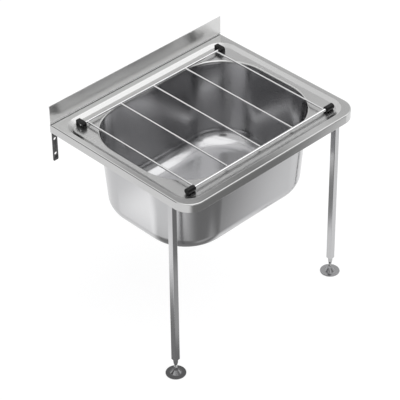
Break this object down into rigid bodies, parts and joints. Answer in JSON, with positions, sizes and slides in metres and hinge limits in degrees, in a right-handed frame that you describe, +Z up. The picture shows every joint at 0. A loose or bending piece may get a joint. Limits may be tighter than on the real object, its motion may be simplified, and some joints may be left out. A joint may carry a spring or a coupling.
{
  "type": "utility laundry sink",
  "caption": "Wall-hung stainless utility sink with a low splashback, a deep pressed bowl, two front legs on screw feet and a hinged bucket grate.",
  "frame": {"origin": "on the floor, in the middle of the sink's plan", "axes": "+X to the right as seen from the front, +Y towards the wall, +Z up"},
  "size_m": [0.6324, 0.5, 0.62],
  "materials": {
    "worktop_steel": "polished stainless sheet",
    "bowl_steel": "satin polished stainless sheet",
    "waste_steel": "polished stainless pressing",
    "waste_seal": "black rubber",
    "waste_body": "white moulded plastic",
    "screw_steel": "plain stainless",
    "bracket_steel": "plain mill finish",
    "socket_steel": "plain mill finish",
    "leg_steel": "polished stainless tube",
    "plug_steel": "turned and polished",
    "stem_steel": "rolled thread",
    "foot_steel": "turned and polished",
    "hinge_plastic": "glossy black moulding",
    "sleeve_rubber": "smooth black rubber",
    "grate_steel": "polished stainless bar"
  },
  "bodies": {
    "sink": {"worktop": "worktop_steel", "bowl": "bowl_steel", "waste_flange": "waste_steel", "waste_top_seal": "waste_seal", "waste_low_seal": "waste_seal", "waste_body": "waste_body", "waste_screw": "screw_steel", "wall_bracket_left": "bracket_steel", "wall_bracket_right": "bracket_steel", "leg_socket_left": "socket_steel", "leg_socket_right": "socket_steel", "leg_screws": "screw_steel", "leg_left": "leg_steel", "leg_right": "leg_steel", "leg_plug_left": "plug_steel", "leg_plug_right": "plug_steel", "hinge_block_left": "hinge_plastic", "hinge_block_right": "hinge_plastic", "hinge_screws": "screw_steel", "hinge_washers": "screw_steel"},
    "grate": {"grate_rear_rail": "grate_steel", "grate_front_rail": "grate_steel", "grate_bar_1": "grate_steel", "grate_bar_2": "grate_steel", "grate_bar_3": "grate_steel", "grate_bar_4": "grate_steel", "grate_bar_5": "grate_steel", "sleeve_left": "sleeve_rubber", "sleeve_right": "sleeve_rubber"},
    "foot_left": {"foot_left": "foot_steel"},
    "foot_right": {"foot_right": "foot_steel"},
    "stem_left": {"foot_stem_left": "stem_steel"},
    "stem_right": {"foot_stem_right": "stem_steel"}
  },
  "joints": [
    {"name": "grate_hinge", "type": "hinge", "parent": "sink", "child": "grate", "pos_m": [0, 0.191, 0.5673], "axis": [-1, 0, 0], "range_deg": [0, 97]},
    {"name": "foot_slide_left", "type": "slide", "parent": "sink", "child": "foot_left", "axis": [0, 0, 1], "range_m": [-0.012, 0.008]},
    {"name": "foot_slide_right", "type": "slide", "parent": "sink", "child": "foot_right", "axis": [0, 0, 1], "range_m": [-0.012, 0.008]},
    {"name": "stem_turn_left", "type": "hinge", "parent": "foot_left", "child": "stem_left", "pos_m": [-0.2895, -0.181, 0.0206], "axis": [0, 0, 1], "range_deg": [-3480, 2330]},
    {"name": "stem_turn_right", "type": "hinge", "parent": "foot_right", "child": "stem_right", "pos_m": [0.2895, -0.181, 0.0206], "axis": [0, 0, 1], "range_deg": [-3480, 2330]}
  ],
  "couplings": [
    {"joint": "stem_turn_left", "follows": "foot_slide_left", "rad_per_m": 5026.5},
    {"joint": "stem_turn_right", "follows": "foot_slide_right", "rad_per_m": 5026.5}
  ]
}
